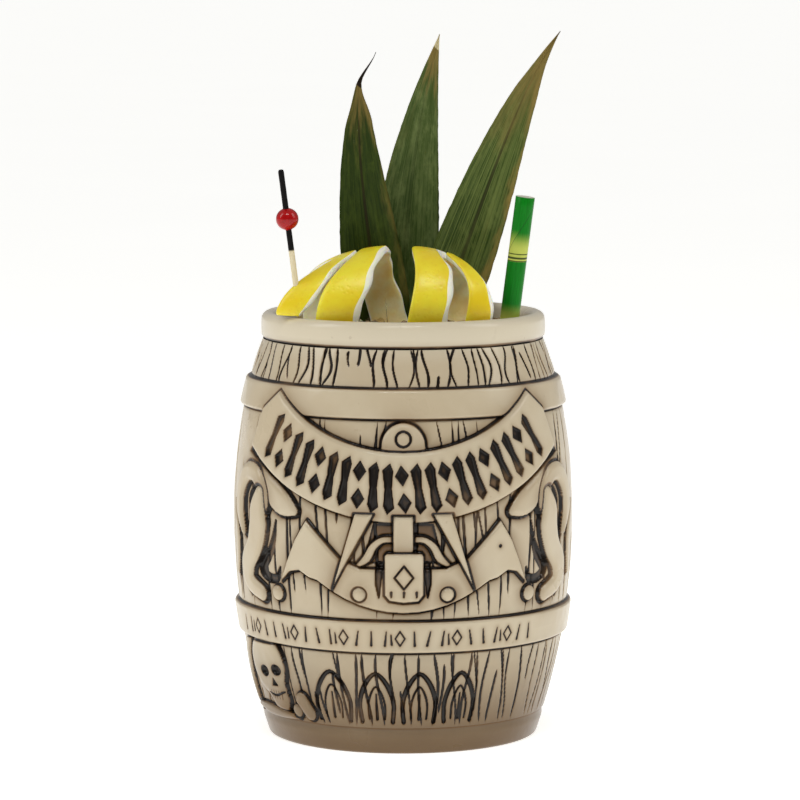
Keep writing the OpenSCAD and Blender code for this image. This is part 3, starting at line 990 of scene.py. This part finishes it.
def build_peel():
    """The peel, with a section of (across, out, tone) points: 1 is zest, 0 is the pith's inside."""
    steps, half_w, half_t = 330, RIND_W / 2, RIND_T / 2
    section = [(w * half_w, half_t * (1 - 0.35 * abs(w) ** 6), 1.0)
               for w in np.linspace(-0.97, 0.72, 12)]
    section += [(half_w * 0.76, half_t * 0.9, 0.6), (half_w * 0.89, half_t * 0.35, 0.4),
                (half_w, -half_t * 0.3, 0.4), (half_w * 0.97, -half_t * 0.7, 0.25)]
    section += [(w * half_w, -half_t, 0.0) for w in np.linspace(0.9, -0.9, 11)]
    section += [(-half_w * 0.97, -half_t * 0.6, 0.3), (-half_w * 0.995, 0.0, 0.45),
                (-half_w, half_t * 0.45, 0.7)]
    points, layer = [], []
    rng = np.random.default_rng(8)
    ripple = rng.uniform(-1, 1, (steps // RIPPLE_STEPS + 3, 2))
    for i in range(steps + 1):
        t = i / steps
        k, f = divmod(i / RIPPLE_STEPS, 1)
        f = f * f * (3 - 2 * f)
        left, right = ripple[int(k)] * (1 - f) + ripple[int(k) + 1] * f
        for w, r, tone in section:
            shift = 0.35 * (left if w < 0 else right) * abs(w) / half_w
            if w > 0.6 * half_w:
                shift += 0.3 * math.sin(97.0 * t) + 0.25 * math.sin(211.0 * t + r)
            inner = 0.15 * math.sin(108.0 * t + w) * (r < 0)
            points.append(peel_point(t, r + inner, w + shift))
            layer.append(tone)
    sides = len(section)
    faces = [tuple(reversed(f)) for f in ring_faces(steps + 1, sides)]
    faces += [tuple(range(sides)), tuple(reversed(range(steps * sides, (steps + 1) * sides)))]
    make_piece("lemon_spiral_peel", points, faces, {"layer": layer}, rind(),
               "peel", ["lemon_peel"])


# Fronds, as in CAD: node, foot, lean, length, half width, bend of the tip and how late it comes.
FRONDS = {
    "left_frond": ("frond_left", (0.0, 13.0, MUG_H - 56), -8.0, 137.0, 10.2, 8.0, 8),
    "middle_frond": ("frond_middle", (-0.8, 27.5, MUG_H - 52), 0.0, 138.5, 11.0, 12.5, 3),
    "right_frond": ("frond_right", (-5.0, 19.0, MUG_H - 52), 19.5, 150.0, 10.2, 5.3, 8),
}
TROUGH_R = 15.0
FROND_T = 1.2
FROND_WIDE = 0.45


def frond_half(s, half):
    """Half width at s along a frond."""
    if s < FROND_WIDE:
        return half * (0.8 + 0.2 * s / FROND_WIDE)
    return half * (1 - ((s - FROND_WIDE) / (1 - FROND_WIDE)) ** 1.6)


def build_frond(body, material, pinch, hook, seed):
    """One blade. pinch thins its tip to a withered thread, and hook turns that thread to the right."""
    node, foot, lean, length, half, bend, late = FRONDS[body]
    foot, lean = Vector(foot), math.radians(lean)
    up = Vector((math.sin(lean), 0, math.cos(lean)))
    side = Vector((math.cos(lean), 0, -math.sin(lean)))
    back = Vector((0, 1, 0))
    steps, across = 90, 17
    rng = np.random.default_rng(seed)
    nick = rng.uniform(-1, 1, (steps + 1, 2))
    points, blade = [], []
    ring = [(w, 0) for w in np.linspace(-1, 1, across)] + [(w, 1) for w in np.linspace(1, -1, across)]
    for i in range(steps + 1):
        s = i / steps
        width = max(frond_half(s, half) * (1 - pinch * float(smoothstep(s, 0.84, 0.95))), 0.12)
        curl = float(smoothstep(s, 0.93, 1.0)) - 0.25 * float(smoothstep(s, 0.86, 0.93))
        turn = bend * s**late + hook * curl
        for w, face in ring:
            edge = abs(w)
            x = w * width * (1 + 0.012 * nick[i][0 if w < 0 else 1] * (edge > 0.9))
            depth = TROUGH_R - math.sqrt(max(TROUGH_R**2 - (x * 0.95) ** 2, 1.0))
            crease = 0.5 * math.exp(-((w / 0.16) ** 2)) * (1 - s)
            thick = FROND_T * (0.25 + 0.75 * (1 - edge**3)) * (1 - 0.55 * s)
            ripple = 0.18 * math.sin(11 * w) * (1 - edge)
            y = -depth + crease + (thick if face else 0.0) + ripple * (0 if face else 1)
            p = foot + up * (length * s) + side * (turn + x) + back * y
            points.append(tuple(p))
            blade.append((w, s, face))
    count = len(ring)
    faces = ring_faces(steps + 1, count)
    faces += [tuple(reversed(range(count))), tuple(range(steps * count, (steps + 1) * count))]
    make_piece(node + "_blade", points, faces, {"blade": blade}, material, body, [node])


def build_fronds():
    deep = leaf("frond_deep_green", green=(0.012, 0.027, 0.001), pale=(0.068, 0.102, 0.012),
                tip=(0.016, 0.010, 0.004), veins=0.35, fold=0.8, brown_side=1.0, brown=0.35,
                wither=0.78, tip_from=0.925)
    soft = leaf("frond_bloomed_green", green=(0.034, 0.066, 0.007), pale=(0.21, 0.26, 0.09),
                tip=(0.62, 0.54, 0.32), veins=0.3, fold=0.1, brown_side=-1.0, brown=0.15,
                wither=0.84, tip_from=0.966)
    worn = leaf("frond_worn_green", green=(0.024, 0.052, 0.003), pale=(0.180, 0.230, 0.060),
                tip=(0.20, 0.14, 0.05), veins=0.75, fold=0.7, brown_side=1.0, brown=1.0,
                wither=0.68, tip_from=0.985)
    build_frond("left_frond", deep, pinch=0.6, hook=3.4, seed=1)
    build_frond("middle_frond", soft, pinch=0.0, hook=0.0, seed=2)
    build_frond("right_frond", worn, pinch=0.2, hook=0.0, seed=3)


# ---------------- drink and ice, which are looks only

DRINK_Z = MUG_H - 6
ICE_R = 35.0
ICE_LUMPS = 120
GOLDEN_ANGLE = 2.39996


def build_drink():
    """The drink's surface, which climbs a little at the wall, and a skirt under its edge."""
    rings, sides = 14, 96
    edge_r = float(side_r(DRINK_Z)) - WALL - 0.15
    points = []
    for k in range(rings):
        r = max(edge_r * (1 - k / (rings - 1)), 0.02)
        for j in range(sides):
            a = 2 * math.pi * j / sides
            swirl = 0.12 * math.sin(5 * a + r * 0.4) * math.sin(r * 0.3)
            lift = 0.7 * math.exp(-(edge_r - r) / 1.2) + swirl
            points.append((r * math.sin(a), -r * math.cos(a), DRINK_Z + lift))
    below = [(x, y, DRINK_Z - 4) for x, y, _ in points[:sides]]
    points = below + points
    faces = ring_faces(rings + 1, sides) + [tuple(reversed(range(sides)))]
    make_piece("drink_surface", points, faces, {}, drink_amber(), "mug", [])


def ice_chunk(rng, centre, size):
    """Loose corners of one rough broken lump."""
    out = []
    for _ in range(14):
        d = Vector((rng.gauss(0, 1), rng.gauss(0, 1), rng.gauss(0, 1))).normalized()
        stretch = Vector((rng.uniform(0.7, 1.2), rng.uniform(0.7, 1.2), rng.uniform(0.5, 0.9)))
        out.append(centre + Vector((d.x * stretch.x, d.y * stretch.y, d.z * stretch.z)) * size)
    return out


def build_ice():
    """Lumps spread evenly over the drink, joined in one mesh."""
    rng = random.Random(17)
    material = ice_glass()
    mesh = bpy.data.meshes.new("crushed_ice")
    whole = bmesh.new()
    for k in range(ICE_LUMPS):
        r = ICE_R * math.sqrt((k + 0.5) / ICE_LUMPS)
        a = k * GOLDEN_ANGLE
        z = DRINK_Z + rng.uniform(-1.0, 2.5)
        size = rng.uniform(1.8, 3.4)
        centre = Vector((r * math.sin(a) + rng.uniform(-1, 1), -r * math.cos(a) + rng.uniform(-1, 1), z))
        lump = bmesh.new()
        for corner in ice_chunk(rng, centre, size):
            lump.verts.new(corner * MM)
        bmesh.ops.convex_hull(lump, input=lump.verts)
        loose = [v for v in lump.verts if not v.link_faces]
        bmesh.ops.delete(lump, geom=loose, context="VERTS")
        bmesh.ops.bevel(lump, geom=lump.edges[:], offset=0.25 * MM, segments=1, affect="EDGES")
        part = bpy.data.meshes.new("lump")
        lump.to_mesh(part)
        lump.free()
        whole.from_mesh(part)
        bpy.data.meshes.remove(part)
    whole.to_mesh(mesh)
    whole.free()
    mesh.materials.append(material)
    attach(add_object("crushed_ice", mesh), "mug")


# ---------------- floor, lights and camera

FLOOR_R = 70.0
FLOOR_GLOW = 0.70
AIR_FRONT, AIR_BACK = 0.13, 0.38
WARM = (1.0, 0.985, 0.96)
LIGHTS = (
    # name, place, size, power
    ("left_softbox", (-0.85, -0.25, 0.75), (0.35, 0.7), 3.0),
    ("right_softbox", (0.85, -0.2, 0.75), (0.35, 0.7), 2.5),
    ("top_softbox", (0.0, -0.62, 1.02), (0.45, 0.14), 3.2),
)


def build_stage():
    """A pale floor, and air that is brighter behind the mug than in front of it."""
    n = Nodes("studio_floor")
    grain = n.noise(3.0, 2, 0.5, n.coordinates())
    paper = n.mix(n.ramp(grain, 0.3, 0.7), (0.86, 0.86, 0.85), (0.88, 0.88, 0.87))
    n.set(Base_Color=paper, Roughness=0.75)
    n.set(Emission_Color=(1.0, 1.0, 0.98), Emission_Strength=FLOOR_GLOW)
    bpy.ops.mesh.primitive_circle_add(vertices=96, radius=FLOOR_R, fill_type="NGON", location=(0, 0, 0))
    floor = bpy.context.object
    floor.name = "studio_floor"
    floor.data.materials.append(n.material)
    air = Nodes("studio_air", bpy.data.worlds, "Background")
    depth = air.parts(air.add("ShaderNodeTexCoord").outputs["Generated"])[1]
    air.set(Color=(1.0, 0.995, 0.98), Strength=air.ramp(depth, -0.9, 0.3, AIR_FRONT, AIR_BACK))
    bpy.context.scene.world = air.material


def build_lights():
    aim = Vector((0, 0, 0.09))
    for name, place, size, power in LIGHTS:
        data = bpy.data.lights.new(name, "AREA")
        data.shape = "RECTANGLE"
        data.size, data.size_y = size
        data.energy = power
        data.color = WARM
        lamp = add_object(name, data)
        lamp.location = place
        lamp.rotation_euler = (aim - Vector(place)).to_track_quat("-Z", "Y").to_euler()


CAMERA_BACK = 1.267
CAMERA_UP = 0.2435
CAMERA_PITCH = math.radians(6.215)
CAMERA_SIDE = -0.001
LENS_MM = 181.0


def build_camera():
    data = bpy.data.cameras.new("studio_camera")
    data.lens = LENS_MM
    data.sensor_width = 36.0
    data.clip_start, data.clip_end = 0.05, 60.0
    camera = add_object("studio_camera", data)
    camera.location = (CAMERA_SIDE, -CAMERA_BACK, CAMERA_UP)
    camera.rotation_euler = (math.pi / 2 - CAMERA_PITCH, 0, 0)
    bpy.context.scene.camera = camera


bpy.context.scene.view_settings.view_transform = "Standard"
build_camera()
build_stage()
build_lights()
build_mug()
build_straw()
build_pick()
build_peel()
build_fronds()
build_drink()
build_ice()
